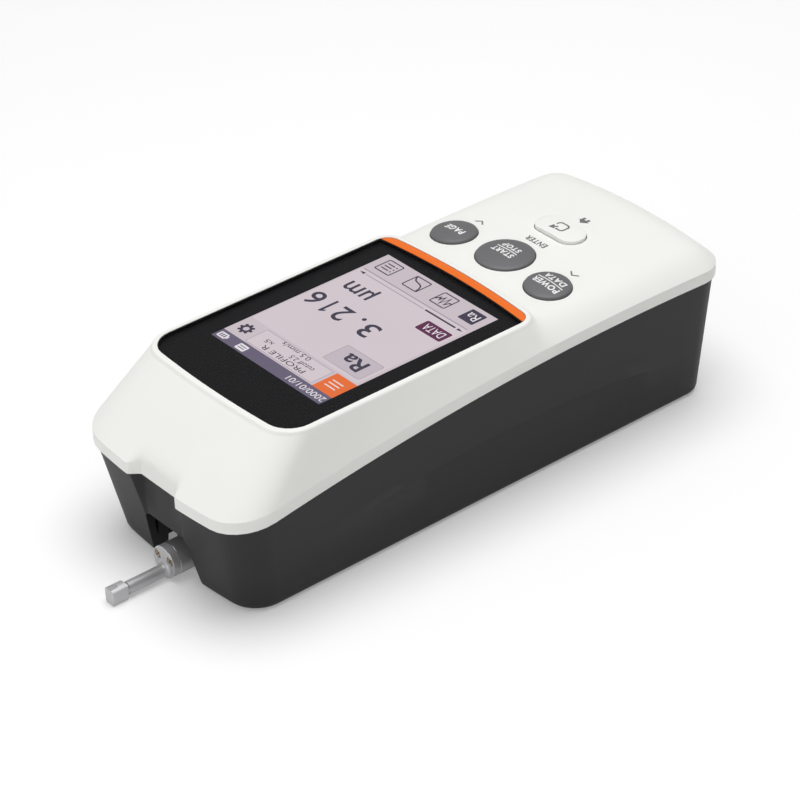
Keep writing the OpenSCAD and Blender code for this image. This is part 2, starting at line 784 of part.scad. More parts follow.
// Rubber plug in the rear opening, with a finger tab along its lower edge
module connector_cover() {
    y = y_rear + lip_overhang + plug_sink;
    z = socket_z + plug_gap + plug_tab_h / 2;
    color([0.16, 0.16, 0.17]) union() {
        socket_plate(plug_gap, y, y_rear + rear_draft + socket_board_gap - plug_gap);
        block(-plug_tab_w / 2, plug_tab_w / 2, y - plug_tab_t, y + over, z, z + plug_tab_h);
    }
}

module case_screws() {
    color("silver") case_screw_places() {
        translate([0, 0, screw_seat_z]) cylinder(r = screw_shank_r, h = screw_len);
        difference() {
            translate([0, 0, screw_seat_z - head_t]) cylinder(r = head_r, h = head_t);
            translate([0, 0, screw_seat_z - head_t - over])
                cylinder(r = key_hex_r, h = over + key_hex_depth, $fn = 6);
        }
    }
}

// Inverted channel of the drive unit, open below, with a slot for the detector in front
module drive_housing() {
    wall_y = drive_y1 - end_wall;
    slot_r = barrel_r + barrel_gap;
    color([0.3, 0.3, 0.31]) difference() {
        block(-drive_w / 2, drive_w / 2, drive_y0, drive_y1, drive_z0, drive_z1);
        block(-inner_hw, inner_hw, drive_y0 + end_wall, wall_y, drive_z0 - over, inner_z1);
        rod(slot_r, wall_y - over, drive_y1 + over, 0, barrel_z);
        block(-slot_r, slot_r, wall_y - over, drive_y1 + over, drive_z0 - over, barrel_z);
        rod(screw_r + run_gap, wall_y - over, drive_y1 + over, 0, screw_z);
        for (s = [-1, 1]) rod(rod_r, wall_y - over, drive_y1 + over, s * rod_x, rod_z);
    }
}

// Plate that closes the motor end of the drive unit
module drive_base() {
    color([0.25, 0.25, 0.26])
        block(-inner_hw, inner_hw, drive_y0 + end_wall, bearing_y1, drive_z0, drive_z0 + base_t);
}

// Bulkhead that carries the rods, the lead screw and the gearbox
module bearing_block() {
    color("lightsteelblue") difference() {
        block(-inner_hw, inner_hw, bearing_y0, bearing_y1, drive_z0 + base_t, inner_z1);
        rod(screw_r + run_gap, bearing_y0 - over, bearing_y1 + over, 0, screw_z);
        for (s = [-1, 1]) rod(rod_r, bearing_y0 - over, bearing_y1 + over, s * rod_x, rod_z);
    }
}

module guide_rods() {
    color("silver") for (s = [-1, 1]) rod(rod_r, bearing_y0, drive_y1, s * rod_x, rod_z);
}

module gearbox() {
    color("goldenrod") difference() {
        rod(motor_r, gearbox_y0, bearing_y0, 0, screw_z);
        rod(screw_r + run_gap, bearing_y0 - screw_grip - screw_end_gap, bearing_y0 + over, 0, screw_z);
    }
}

module drive_motor() {
    color("dimgray") union() {
        rod(motor_r, motor_y0, gearbox_y0, 0, screw_z);
        rod(motor_r / 3, motor_y0 - motor_nose, motor_y0 + over, 0, screw_z);
    }
}

module lead_screw() {
    color("gainsboro") rod(screw_r, bearing_y0 - screw_grip, drive_y1 - screw_end_gap, 0, screw_z);
}

// Carriage on the rods, with the nut and the socket for the detector's shank
module carriage() {
    foot_hw = shank_r + socket_wall;
    color("slategray") difference() {
        union() {
            block(-carriage_hw, carriage_hw, carriage_y0, carriage_y1, screw_z - nut_drop, carriage_z1);
            block(-foot_hw, foot_hw, carriage_y0, carriage_y1, carriage_z0, screw_z);
        }
        rod(screw_r + run_gap, carriage_y0 - over, carriage_y1 + over, 0, screw_z);
        for (s = [-1, 1]) rod(rod_r + run_gap, carriage_y0 - over, carriage_y1 + over, s * rod_x, rod_z);
        rod(shank_r, carriage_y1 - shank_len, carriage_y1 + over, 0, barrel_z);
    }
}

module detector_body() {
    color([0.6, 0.6, 0.61]) difference() {
        union() {
            rod(barrel_r, barrel_y0, flange_y0, 0, barrel_z);
            rod(shank_r, carriage_y1 - shank_len, barrel_y0 + over, 0, barrel_z);
        }
        rod(cavity_r, flange_y0 - cavity_len, flange_y0 + over, 0, barrel_z);
        translate([-barrel_r, pivot_y, nose_z]) rotate([0, 90, 0]) cylinder(r = pivot_r, h = 2 * barrel_r);
    }
}

// Nose in one piece: flange, rod that flares into it, and the skid block with the stylus hole
module nosepiece() {
    root = 0.5;
    flare_stretch = 1.2;
    neck_r = nose_r - neck_cut;
    neck_y = root + nose_len - neck_len;
    color([0.66, 0.66, 0.67]) difference() {
        union() {
            rod(barrel_r, flange_y0, flange_y1, 0, barrel_z);
            intersection() {
                translate([0, flange_y1 - root, nose_z]) rotate([-90, 0, 0]) rotate_extrude() polygon(concat(
                    [[0, 0], [nose_r + nose_flare, 0]],
                    [for (a = [0:10:90]) [nose_r + nose_flare * (1 - sin(a)),
                        root + nose_flare * (1 - cos(a)) * flare_stretch]],
                    [[nose_r, neck_y], [neck_r, neck_y + neck_cut / 2],
                        [neck_r, root + nose_len + root], [0, root + nose_len + root]]));
                rod(barrel_r, flange_y0, y_tip, 0, barrel_z);
            }
            skid_block();
        }
        rod(channel_r, flange_y0 - over, y_tip - over, 0, nose_z);
        translate([0, tip_y, -over]) cylinder(r = tip_hole_r, h = nose_z + over);
        for (s = [-1, 1]) {
            rod(nose_screw_r, flange_y0 - over, flange_y1 + over, s * nose_screw_x, nose_screw_z);
            rod(nose_head_r + run_gap, flange_y1 - nose_bore_depth, flange_y1 + over,
                s * nose_screw_x, nose_screw_z);
        }
    }
}

// Block with an arched top, a small flat milled in from the front, and an arc of a skid below
module skid_block() {
    hw = skid_w / 2;
    foot_x = hw - skid_edge_r;
    flat_z = skid_h - skid_flat_cut;
    flat_y = y_tip - skid_flat_len;
    difference() {
        intersection() {
            union() {
                block(-hw, hw, skid_y0, y_tip, skid_edge_r, skid_h);
                block(-foot_x, foot_x, skid_y0, y_tip, 0, skid_h);
                for (s = [-1, 1]) rod(skid_edge_r, skid_y0, y_tip, s * foot_x, skid_edge_r);
            }
            rod(skid_top_r, skid_y0 - over, y_tip + over, 0, skid_h - skid_top_r);
            translate([-skid_w, tip_y, skid_r]) rotate([0, 90, 0])
                cylinder(r = skid_r, h = 2 * skid_w, $fn = 180);
        }
        block(-skid_flat_r, skid_flat_r, flat_y, y_tip + over, flat_z, skid_h + over);
        translate([0, flat_y, flat_z]) cylinder(r = skid_flat_r, h = skid_flat_cut + over);
    }
}

module nosepiece_screws() {
    color("tan") for (s = [-1, 1]) {
        rod(nose_screw_r, flange_y0, flange_y1 - nose_bore_depth + eps, s * nose_screw_x, nose_screw_z);
        rod(nose_head_r, flange_y1 - nose_bore_depth, flange_y1 - nose_head_sink,
            s * nose_screw_x, nose_screw_z);
    }
}

module pivot_pin() {
    hw = sqrt(barrel_r * barrel_r - pow(barrel_z - nose_z, 2)) - pin_sink;
    color("silver") translate([-hw, pivot_y, nose_z]) rotate([0, 90, 0]) cylinder(r = pivot_r, h = 2 * hw);
}

// Coil over the rear end of the stylus arm, under the roof of the barrel
module pickup_coil() {
    roof = barrel_z + sqrt(cavity_r * cavity_r - coil_r * coil_r);
    z = nose_z + arm_r + coil_gap;
    color("peru") translate([0, pivot_y - coil_back, z]) cylinder(r = coil_r, h = roof - z - eps);
}

module stylus_arm() {
    color("gainsboro") difference() {
        union() {
            rod(arm_r, pivot_y - arm_tail, tip_y + arm_lead, 0, nose_z);
            translate([-hub_w / 2, pivot_y, nose_z]) rotate([0, 90, 0]) cylinder(r = hub_r, h = hub_w);
        }
        translate([-hub_w, pivot_y, nose_z]) rotate([0, 90, 0])
            cylinder(r = pivot_r + run_gap, h = 2 * hub_w);
        translate([0, tip_y, nose_z - over]) cylinder(r = tip_r, h = 2 * over);
    }
}

module stylus_tip() {
    color("dimgray") translate([0, tip_y, 0]) union() {
        translate([0, 0, tip_z + tip_r]) cylinder(r = tip_r, h = nose_z - tip_z - tip_r);
        translate([0, 0, tip_z]) cylinder(r1 = eps, r2 = tip_r, h = tip_r);
    }
}

top_cover();
bottom_case();
display_window();
accent_trim();
display_panel();
display_frame();
main_board();
key_mat();
page_key();
start_key();
power_key();
enter_key();
battery_pack();
connector_board();
connector_cover();
board_screws();
case_screws();
drive_housing();
drive_base();
bearing_block();
guide_rods();
drive_motor();
gearbox();
lead_screw();
carriage();
detector_body();
nosepiece();
nosepiece_screws();
pivot_pin();
pickup_coil();
stylus_arm();
stylus_tip();
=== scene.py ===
import json
import math

import bmesh
import bpy
from mathutils import Matrix, Vector
from mathutils.bvhtree import BVHTree


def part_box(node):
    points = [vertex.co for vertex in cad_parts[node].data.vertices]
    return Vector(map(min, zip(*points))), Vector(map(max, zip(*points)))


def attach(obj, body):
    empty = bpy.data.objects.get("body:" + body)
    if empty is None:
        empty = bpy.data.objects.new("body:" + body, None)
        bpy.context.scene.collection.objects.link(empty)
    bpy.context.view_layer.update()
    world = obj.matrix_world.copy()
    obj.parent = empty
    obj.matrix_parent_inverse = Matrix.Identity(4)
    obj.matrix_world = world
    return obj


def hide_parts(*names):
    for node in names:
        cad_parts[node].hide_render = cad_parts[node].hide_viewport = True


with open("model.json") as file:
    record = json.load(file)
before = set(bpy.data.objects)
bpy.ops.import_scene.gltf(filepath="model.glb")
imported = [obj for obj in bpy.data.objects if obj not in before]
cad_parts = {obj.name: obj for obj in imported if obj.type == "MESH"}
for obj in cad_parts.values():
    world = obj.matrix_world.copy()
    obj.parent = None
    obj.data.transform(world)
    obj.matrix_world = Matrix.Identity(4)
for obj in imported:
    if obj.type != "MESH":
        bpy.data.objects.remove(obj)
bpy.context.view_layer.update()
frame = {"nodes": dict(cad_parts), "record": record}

# Looks of a hand-held surface roughness tester. Sizes are in millimetres and turn into metres on use.
MM = 0.001
NODES = frame["nodes"]
WELD = 1e-6
MERGE_MM = 1e-5
LEVEL_MM = 0.01
RAY_RISE = 10
SMOOTH_ANGLE = math.radians(38)
FLAT_ANGLE = math.radians(0.3)
BEVEL_ANGLE = math.radians(32)

# Colours as they look on screen, from 0 to 255
COVER = (243, 243, 239)
CASE = (38, 38, 40)
BORDER = (26, 26, 28)
ORANGE = (242, 112, 14)
MENU = (234, 112, 56)
KEY = (104, 104, 106)
LEGEND_LIGHT = (238, 238, 238)
LEGEND_DARK = (112, 112, 110)
PAGE = (206, 194, 201)
CARD = (214, 203, 209)
TILE = (198, 187, 196)
INK = (66, 62, 80)
BAR = (106, 98, 120)
TAG = (96, 44, 78)
TRACK = (168, 156, 168)
SCREEN_LIGHT = (236, 230, 236)
SILVER = (188, 188, 190)


def linear(color):
    """Linear colour of a screen colour."""
    parts = [c / 255 for c in color]
    return [c / 12.92 if c <= 0.04045 else ((c + 0.055) / 1.055) ** 2.4 for c in parts]


def rgba(color, gain=1.0):
    """Linear colour with an alpha of 1, made lighter or darker by a gain."""
    return [min(1.0, c * gain) for c in linear(color)] + [1.0]


# Materials

def add_node(tree, kind, inputs=None, **settings):
    """A new shader node with its settings and input values."""
    made = tree.nodes.new(kind)
    for key, value in settings.items():
        setattr(made, key, value)
    for key, value in (inputs or {}).items():
        made.inputs[key].default_value = value
    return made


def new_material(name, **values):
    """A material with a principled shader whose inputs are set, such as Roughness=0.4."""
    material = bpy.data.materials.new(name)
    material.use_nodes = True
    shader = material.node_tree.nodes["Principled BSDF"]
    for key, value in values.items():
        shader.inputs[key.replace("_", " ")].default_value = value
    return material, material.node_tree, shader


def noise(tree, size, detail=3.0, stretch=(1, 1, 1)):
    """Noise with features of about this size in metres, drawn out along an axis by stretch."""
    place = add_node(tree, "ShaderNodeTexCoord")
    scale = add_node(tree, "ShaderNodeMapping", {"Scale": [1 / s for s in stretch]})
    grain = add_node(tree, "ShaderNodeTexNoise", {"Scale": 1 / size, "Detail": detail})
    tree.links.new(place.outputs["Object"], scale.inputs["Vector"])
    tree.links.new(scale.outputs["Vector"], grain.inputs["Vector"])
    return grain.outputs["Fac"]


def mottle_color(tree, shader, color, amount, size):
    """Base colour that wanders a little about its mean."""
    tint = add_node(tree, "ShaderNodeMix", data_type="RGBA")
    tint.inputs["A"].default_value = rgba(color, 1 - amount)
    tint.inputs["B"].default_value = rgba(color, 1 + amount)
    tree.links.new(noise(tree, size), tint.inputs["Factor"])
    tree.links.new(tint.outputs["Result"], shader.inputs["Base Color"])


def vary_roughness(tree, shader, source, low, high):
    """Roughness that follows a noise between two values."""
    gloss = add_node(tree, "ShaderNodeMapRange", {"To Min": low, "To Max": high})
    tree.links.new(source, gloss.inputs["Value"])
    tree.links.new(gloss.outputs["Result"], shader.inputs["Roughness"])


def relief(tree, shader, source, depth):
    """Bump of a depth in metres."""
    bump = add_node(tree, "ShaderNodeBump", {"Strength": 1.0, "Distance": depth})
    tree.links.new(source, bump.inputs["Height"])
    tree.links.new(bump.outputs["Normal"], shader.inputs["Normal"])


def moulded(name, color, roughness, grain, depth, mottle=0.03, **values):
    """Moulded plastic: spark-eroded grain, with faint mottling of its colour and gloss."""
    material, tree, shader = new_material(name, **values)
    mottle_color(tree, shader, color, mottle, 12 * MM)
    fine = noise(tree, grain * MM, 4.0)
    vary_roughness(tree, shader, fine, roughness - 0.06, roughness + 0.06)
    relief(tree, shader, fine, depth * MM)
    return material


def metal(name, color, roughness, stretch=(1, 1, 1), grain=0.25, depth=0.004, mottle=0.05, metallic=1.0):
    """Metal with tool marks drawn out along an axis."""
    material, tree, shader = new_material(name, Metallic=metallic)
    mottle_color(tree, shader, color, mottle, 3 * MM)
    marks = noise(tree, grain * MM, 3.0, stretch)
    vary_roughness(tree, shader, marks, roughness - 0.08, roughness + 0.08)
    relief(tree, shader, marks, depth * MM)
    return material


def lit(name, color, uneven=0.03):
    """Part of the lit screen, with a slightly uneven back light."""
    material, tree, shader = new_material(
        name, Base_Color=[0.01, 0.01, 0.01, 1], Roughness=0.6, Specular_IOR_Level=0.1, Emission_Strength=1.0)
    glow = add_node(tree, "ShaderNodeMix", data_type="RGBA")
    glow.inputs["A"].default_value = rgba(color, 1 - uneven)
    glow.inputs["B"].default_value = rgba(color, 1 + uneven)
    tree.links.new(noise(tree, 25 * MM), glow.inputs["Factor"])
    tree.links.new(glow.outputs["Result"], shader.inputs["Emission Color"])
    return material


def clear_sheet(name):
    """Clear window with a weak reflection."""
    material, tree, shader = new_material(name, Base_Color=[0, 0, 0, 1], Alpha=0.04)
    vary_roughness(tree, shader, noise(tree, 8 * MM), 0.02, 0.05)
    return material


def circuit_board(name):
    """Solder mask with faint copper runs under it."""
    material, tree, shader = new_material(name, Roughness=0.35)
    cells = add_node(tree, "ShaderNodeTexBrick", {
        "Color1": rgba((22, 92, 52)), "Color2": rgba((26, 104, 60)), "Mortar": rgba((40, 124, 76)),
        "Scale": 1 / (6 * MM), "Mortar Size": 0.03})
    place = add_node(tree, "ShaderNodeTexCoord")
    tree.links.new(place.outputs["Object"], cells.inputs["Vector"])
    tree.links.new(cells.outputs["Color"], shader.inputs["Base Color"])
    return material


SLOT_MATERIALS = {
    "cover": moulded("cover_plastic", COVER, 0.46, 0.35, 0.004, 0.012),
    "case": moulded("case_plastic", CASE, 0.52, 0.3, 0.012, 0.06, Specular_IOR_Level=0.25),
    "window": clear_sheet("window_sheet"),
    "accent": moulded("accent_plastic", ORANGE, 0.36, 0.3, 0.003, 0.03),
    "display": moulded("display_module", (40, 40, 44), 0.4, 0.3, 0.002),
    "frame": metal("frame_metal", (200, 200, 204), 0.4),
    "board": circuit_board("board_mask"),
    "silicone": moulded("mat_silicone", (150, 150, 152), 0.7, 0.4, 0.006),
    "key": moulded("key_plastic", KEY, 0.48, 0.3, 0.005, 0.03),
    "enter": moulded("enter_plastic", COVER, 0.42, 0.35, 0.004, 0.012),
    "battery": moulded("battery_wrap", (70, 110, 170), 0.3, 0.8, 0.004),
    "rubber": moulded("cover_rubber", (46, 46, 48), 0.75, 0.35, 0.015, 0.06),
    "steel": metal("turned_steel", (206, 206, 208), 0.26, (1, 1, 0.2)),
    "drive": moulded("drive_plastic", (52, 52, 54), 0.52, 0.3, 0.01, 0.06),
    "block": metal("milled_aluminium", (190, 192, 196), 0.36, (6, 1, 1)),
    "motor": metal("motor_can", (170, 170, 174), 0.3, (1, 8, 1)),
    "brass": metal("plain_brass", (212, 176, 104), 0.3, (1, 8, 1)),
    "detector": metal("detector_metal", SILVER, 0.42, grain=0.2, metallic=0.5),
    "screw": metal("plated_screw", (196, 184, 168), 0.34),
    "coil": metal("coil_wire", (196, 112, 62), 0.35, (6, 6, 0.4)),
    "tip": moulded("tip_diamond", (70, 72, 78), 0.1, 0.3, 0.001),
}
PRINT_DARK = moulded("print_border", BORDER, 0.3, 0.4, 0.001, 0.05, Specular_IOR_Level=0.1)
INK_LIGHT = moulded("legend_light", LEGEND_LIGHT, 0.5, 0.3, 0.002, 0.02)
INK_DARK = moulded("legend_dark", LEGEND_DARK, 0.5, 0.3, 0.002, 0.04)


# CAD nodes: material, welded seams, small edge rounds and smooth shading

def smooth_group():
    """Geometry nodes that shade smooth but keep edges sharper than the limit."""
    group = bpy.data.node_groups.new("smooth_by_angle", "GeometryNodeTree")
    group.interface.new_socket("Geometry", in_out="INPUT", socket_type="NodeSocketGeometry")
    group.interface.new_socket("Geometry", in_out="OUTPUT", socket_type="NodeSocketGeometry")
    start = add_node(group, "NodeGroupInput")
    angle = add_node(group, "GeometryNodeInputMeshEdgeAngle")
    sharp = add_node(group, "FunctionNodeCompare", data_type="FLOAT", operation="GREATER_THAN")
    sharp.inputs["B"].default_value = SMOOTH_ANGLE
    shade = add_node(group, "GeometryNodeSetShadeSmooth", {"Shade Smooth": False}, domain="EDGE")
    end = add_node(group, "NodeGroupOutput")
    group.links.new(angle.outputs["Unsigned Angle"], sharp.inputs["A"])
    group.links.new(start.outputs["Geometry"], shade.inputs["Geometry"])
    group.links.new(sharp.outputs["Result"], shade.inputs["Selection"])
    group.links.new(shade.outputs["Geometry"], end.inputs["Geometry"])
    return group


SMOOTH = smooth_group()


def shade_smooth(mesh):
    """Smooth faces, with the stored normals dropped so that the modifiers decide."""
    if "custom_normal" in mesh.attributes:
        mesh.attributes.remove(mesh.attributes["custom_normal"])
    mesh.polygons.foreach_set("use_smooth", [True] * len(mesh.polygons))
    mesh.edges.foreach_set("use_edge_sharp", [False] * len(mesh.edges))


def add_edge_round(obj, width):
    """Small round on the sharp edges, with normals led by the large faces."""
    flat = obj.modifiers.new("join_flats", "DECIMATE")
    flat.decimate_type = "DISSOLVE"
    flat.angle_limit = FLAT_ANGLE
    edge = obj.modifiers.new("edge_round", "BEVEL")
    edge.width = width * MM
    edge.segments = 2
    edge.limit_method = "ANGLE"
    edge.angle_limit = BEVEL_ANGLE
    normals = obj.modifiers.new("face_normals", "WEIGHTED_NORMAL")
    normals.weight = 50
    normals.keep_sharp = False


EDGE_ROUNDS = {
    "page_key": 0.35, "start_key": 0.35, "power_key": 0.35, "enter_key": 0.6,
    "accent_trim": 0.12, "connector_cover": 0.4,
    "detector_body": 0.14, "nosepiece": 0.12, "carriage": 0.2, "bearing_block": 0.2,
}

for part in frame["record"]["subparts"]:
    node = NODES[part["node"]]
    node.data.materials.clear()
    node.data.materials.append(SLOT_MATERIALS[part["material_slot"]])
    shade_smooth(node.data)
    weld = node.modifiers.new("weld", "WELD")
    weld.merge_threshold = WELD
    if part["node"] in EDGE_ROUNDS:
        add_edge_round(node, EDGE_ROUNDS[part["node"]])
    else:
        shading = node.modifiers.new("smooth_by_angle", "NODES")
        shading.node_group = SMOOTH


# Flat shapes for print and screen, as closed loops of points in millimetres

def rounded(x0, y0, x1, y1, r=0.0, steps=5):
    """Rectangle with round corners."""
    if r <= 0:
        return [(x0, y0), (x1, y0), (x1, y1), (x0, y1)]
    corners = [(x1 - r, y0 + r, -90), (x1 - r, y1 - r, 0), (x0 + r, y1 - r, 90), (x0 + r, y0 + r, 180)]
    turns = [(cx, cy, math.radians(a + 90 * i / steps)) for cx, cy, a in corners for i in range(steps + 1)]
    return [(cx + r * math.cos(a), cy + r * math.sin(a)) for cx, cy, a in turns]


def disc(x, y, r, steps=40):
    return [(x + r * math.cos(a), y + r * math.sin(a)) for a in (math.tau * i / steps for i in range(steps))]


def offset_side(points, distance, closed):
    """The points moved sideways by a distance, with mitred turns."""
    moved = []
    last = len(points) - 1
    for i, point in enumerate(points):
        before = points[i - 1] if i > 0 or closed else None
        after = points[(i + 1) % len(points)] if i < last or closed else None
        here = Vector(point)
        ways = [(here - Vector(before)).normalized()] if before is not None else []
        ways += [(Vector(after) - here).normalized()] if after is not None else []
        normals = [Vector((-w.y, w.x)) for w in ways]
        middle = sum(normals, Vector((0, 0))).normalized()
        moved.append(here + middle * distance / max(0.4, middle.dot(normals[0])))
    return [tuple(p) for p in moved]


def stroke(points, width, closed=False):
    """Loops of a line of a width along the points."""
    left = offset_side(points, width / 2, closed)
    right = offset_side(points, -width / 2, closed)
    return [left, right[::-1]] if closed else [left + right[::-1]]


def line(x0, y0, x1, y1, width, steps=10):
    """Straight line with points along it, so that it can lie on a dome."""
    shares = [i / steps for i in range(steps + 1)]
    return stroke([(x0 + (x1 - x0) * t, y0 + (y1 - y0) * t) for t in shares], width)


def gear(x, y, r_out, r_in, hole, teeth=8):
    """Toothed wheel with a round hole."""
    outer = []
    pitch = math.tau / teeth
    for i in range(teeth):
        for share, r in ((-0.36, r_in), (-0.2, r_out), (0.2, r_out), (0.36, r_in)):
            a = pitch * (i + share)
            outer.append((x + r * math.cos(a), y + r * math.sin(a)))
    return [outer, disc(x, y, hole)]


def loops_mesh(loops, thickness):
    """Closed solid of the area between the loops, from z 0 up to a thickness, in millimetres."""
    data = bpy.data.curves.new("loops", "CURVE")
    data.dimensions = "2D"
    data.fill_mode = "BOTH"
    data.extrude = thickness / 2
    for loop in loops:
        spline = data.splines.new("POLY")
        spline.points.add(len(loop) - 1)
        for point, (x, y) in zip(spline.points, loop):
            point.co = (x, y, 0, 1)
        spline.use_cyclic_u = True
    return solid_of(data)


def text_mesh(body, box, thickness, weight=0.0, spacing=1.0):
    """Closed solid of a word, stretched to fill a box of x0, y0, x1, y1 in millimetres."""
    data = bpy.data.curves.new("word", "FONT")
    data.body = body
    data.space_character = spacing
    data.extrude = thickness / 2
    data.offset = weight
    data.resolution_u = 4
    mesh = solid_of(data)
    xs = [v.co.x for v in mesh.vertices]
    ys = [v.co.y for v in mesh.vertices]
    x0, y0, x1, y1 = box
    scale_x = (x1 - x0) / (max(xs) - min(xs))
    scale_y = (y1 - y0) / (max(ys) - min(ys))
    for vertex in mesh.vertices:
        vertex.co.x = x0 + (vertex.co.x - min(xs)) * scale_x
        vertex.co.y = y0 + (vertex.co.y - min(ys)) * scale_y
    return mesh


def solid_of(data):
    """Mesh of an extruded curve, from z 0 up."""
    holder = bpy.data.objects.new(data.name, data)
    bpy.context.scene.collection.objects.link(holder)
    mesh = bpy.data.meshes.new_from_object(holder)
    bpy.data.objects.remove(holder)
    mesh.transform(Matrix.Translation((0, 0, data.extrude)))
    bpy.data.curves.remove(data)
    return mesh


def place(name, meshes, surface, material, body, slot, lift=0.0):
    """One piece of several flat solids, laid on a surface that gives a point and a normal for x, y."""
    built = bmesh.new()
    for mesh in meshes:
        built.from_mesh(mesh)
        bpy.data.meshes.remove(mesh)
    bmesh.ops.remove_doubles(built, verts=built.verts, dist=MERGE_MM)
    for vertex in built.verts:
        point, normal = surface(vertex.co.x, vertex.co.y)
        vertex.co = point + normal * (vertex.co.z + lift) * MM
    bmesh.ops.recalc_face_normals(built, faces=built.faces)
    return finish_piece(name, built, material, body)


def finish_piece(name, built, material, body):
    """Turns a bmesh in metres into a piece that rides on a body."""
    mesh = bpy.data.meshes.new(name)
    built.to_mesh(mesh)
    built.free()
    mesh.materials.append(material)
    piece = bpy.data.objects.new(name, mesh)
    bpy.context.scene.collection.objects.link(piece)
    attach(piece, body)
    return piece


def flat_surface(z, y0=0.0):
    """Surface at a height in millimetres, with its y counted from y0."""
    return lambda x, y: (Vector((x, y0 + y, z)) * MM, Vector((0, 0, 1)))


def node_surface(name):
    """Upper surface of a CAD node."""
    mesh = NODES[name].data
    tree = BVHTree.FromPolygons([v.co for v in mesh.vertices], [p.vertices for p in mesh.polygons])
    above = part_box(name)[1].z + RAY_RISE * MM

    def surface(x, y):
        point, normal, _, _ = tree.ray_cast(Vector((x * MM, y * MM, above)), Vector((0, 0, -1)))
        return point, normal
    return surface


# Window: a clear sheet with a dark border printed on its back and its edge

window_low, window_high = [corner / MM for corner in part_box("display_window")]
panel_low, panel_high = [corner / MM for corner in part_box("display_panel")]
SCREEN_W = 43.2
SCREEN_LEN = 57.6
SCREEN_SINK = 0.1
screen_y = (panel_low.y + panel_high.y) / 2
screen_z = panel_high.z - SCREEN_SINK
left, right = -SCREEN_W / 2, SCREEN_W / 2
bottom, top = -SCREEN_LEN / 2, SCREEN_LEN / 2
PRINT_GAP = 0.01
PRINT_T = 0.05
EDGE_T = 0.12


def window_loop():
    """Outline of the window's lower face, with y counted from the middle of the screen."""
    mesh = NODES["display_window"].data
    low = [v.co / MM for v in mesh.vertices if abs(v.co.z / MM - window_low.z) < LEVEL_MM]
    points = {(round(p.x, 3), round(p.y - screen_y, 3)) for p in low}
    return sorted(points, key=lambda p: math.atan2(p[1], p[0]))


window_edge = window_loop()
edge_inside = offset_side(window_edge, EDGE_T, closed=True)
sheet_edge = offset_side(window_edge, EDGE_T + PRINT_GAP, closed=True)
print_z = window_low.z + PRINT_GAP
sheet_z = print_z + PRINT_T + PRINT_GAP
window_border = place("window_border", [
    loops_mesh([sheet_edge, rounded(left, bottom, right, top, 0.3)], PRINT_T),
    loops_mesh([window_edge, edge_inside], window_high.z - print_z),
    ], flat_surface(print_z, screen_y), PRINT_DARK, "housing", "window")
window_sheet = place("window_sheet", [loops_mesh([sheet_edge], window_high.z - sheet_z)],
                     flat_surface(sheet_z, screen_y), SLOT_MATERIALS["window"], "housing", "window")
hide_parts("display_window")
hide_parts("display_window")

# Screen: layers of lit shapes, each a little over the one below, with y counted from the screen's middle

SCREEN_GAP = 0.004
LAYER_T = 0.008
LAYER_STEP = 0.011


def on_screen(name, meshes, color, layer, slot="display"):
    """One lit piece of the screen, in its layer."""
    height = screen_z + SCREEN_GAP + layer * LAYER_STEP
    place(name, meshes, flat_surface(height, screen_y), lit(name, color), "housing", slot)


def shape(*loops):
    return loops_mesh(list(loops), LAYER_T)


def word(body, x0, y0, x1, y1, weight=0.0):
    return text_mesh(body, (x0, y0, x1, y1), LAYER_T, weight)


def frame_line(x0, y0, x1, y1, r=0.5, width=0.16):
    """Thin line round a box."""
    return shape(*stroke(rounded(x0, y0, x1, y1, r), width, closed=True))


bar_y = top - 4.2
tile_y = bar_y - 8
card_y = tile_y - 0.5
CARD_BOX = (-20.5, -19.8, 21.1, card_y)
FIELDS_BOX = (-12.6, tile_y + 0.4, 13.6, bar_y - 0.5)
VALUE_BOX = (-19.4, 6.5, -5.4, 14.7)
TRACK_Y = -18.25

on_screen("screen_page", [shape(rounded(left, bottom, right, top))], PAGE, 0)
on_screen("screen_card", [shape(rounded(*CARD_BOX, 0.7)), shape(rounded(*FIELDS_BOX, 0.3))], CARD, 1)
on_screen("screen_bar", [shape(rounded(left, bar_y, right, top))], BAR, 1)
on_screen("screen_menu", [shape(rounded(left, tile_y, left + 8, bar_y))], MENU, 1, "accent")
on_screen("screen_value_box", [shape(rounded(*VALUE_BOX, 0.6))], TILE, 2)
on_screen("screen_tag", [shape(rounded(-19.5, -15.6, -10, -10.9, 0.6))], TAG, 2)
on_screen("screen_lines", [
    frame_line(*VALUE_BOX), frame_line(*FIELDS_BOX, 0.3),
    shape(*line(CARD_BOX[0] + 0.6, CARD_BOX[1], CARD_BOX[2] - 0.6, CARD_BOX[1], 0.4)),
    shape(*line(-5, TRACK_Y, 17.8, TRACK_Y, 0.3)),
    ], TRACK, 3)

ICON_Y = (-27.4, -22)
ICON_X = (-19, -8.25, 2.6, 13.5)
ICON_W = 5.5
ICON_R = 0.4
ICON_LINE = 0.38
WAVE_LINE = 0.46
CURVE_LINE = 0.42


def icon_box(x):
    return rounded(x, ICON_Y[0], x + ICON_W, ICON_Y[1], ICON_R)


def icon_points(x, shares):
    """Points inside an icon from shares of its width and height."""
    height = ICON_Y[1] - ICON_Y[0]
    return [(x + ICON_W * u, ICON_Y[0] + height * v) for u, v in shares]


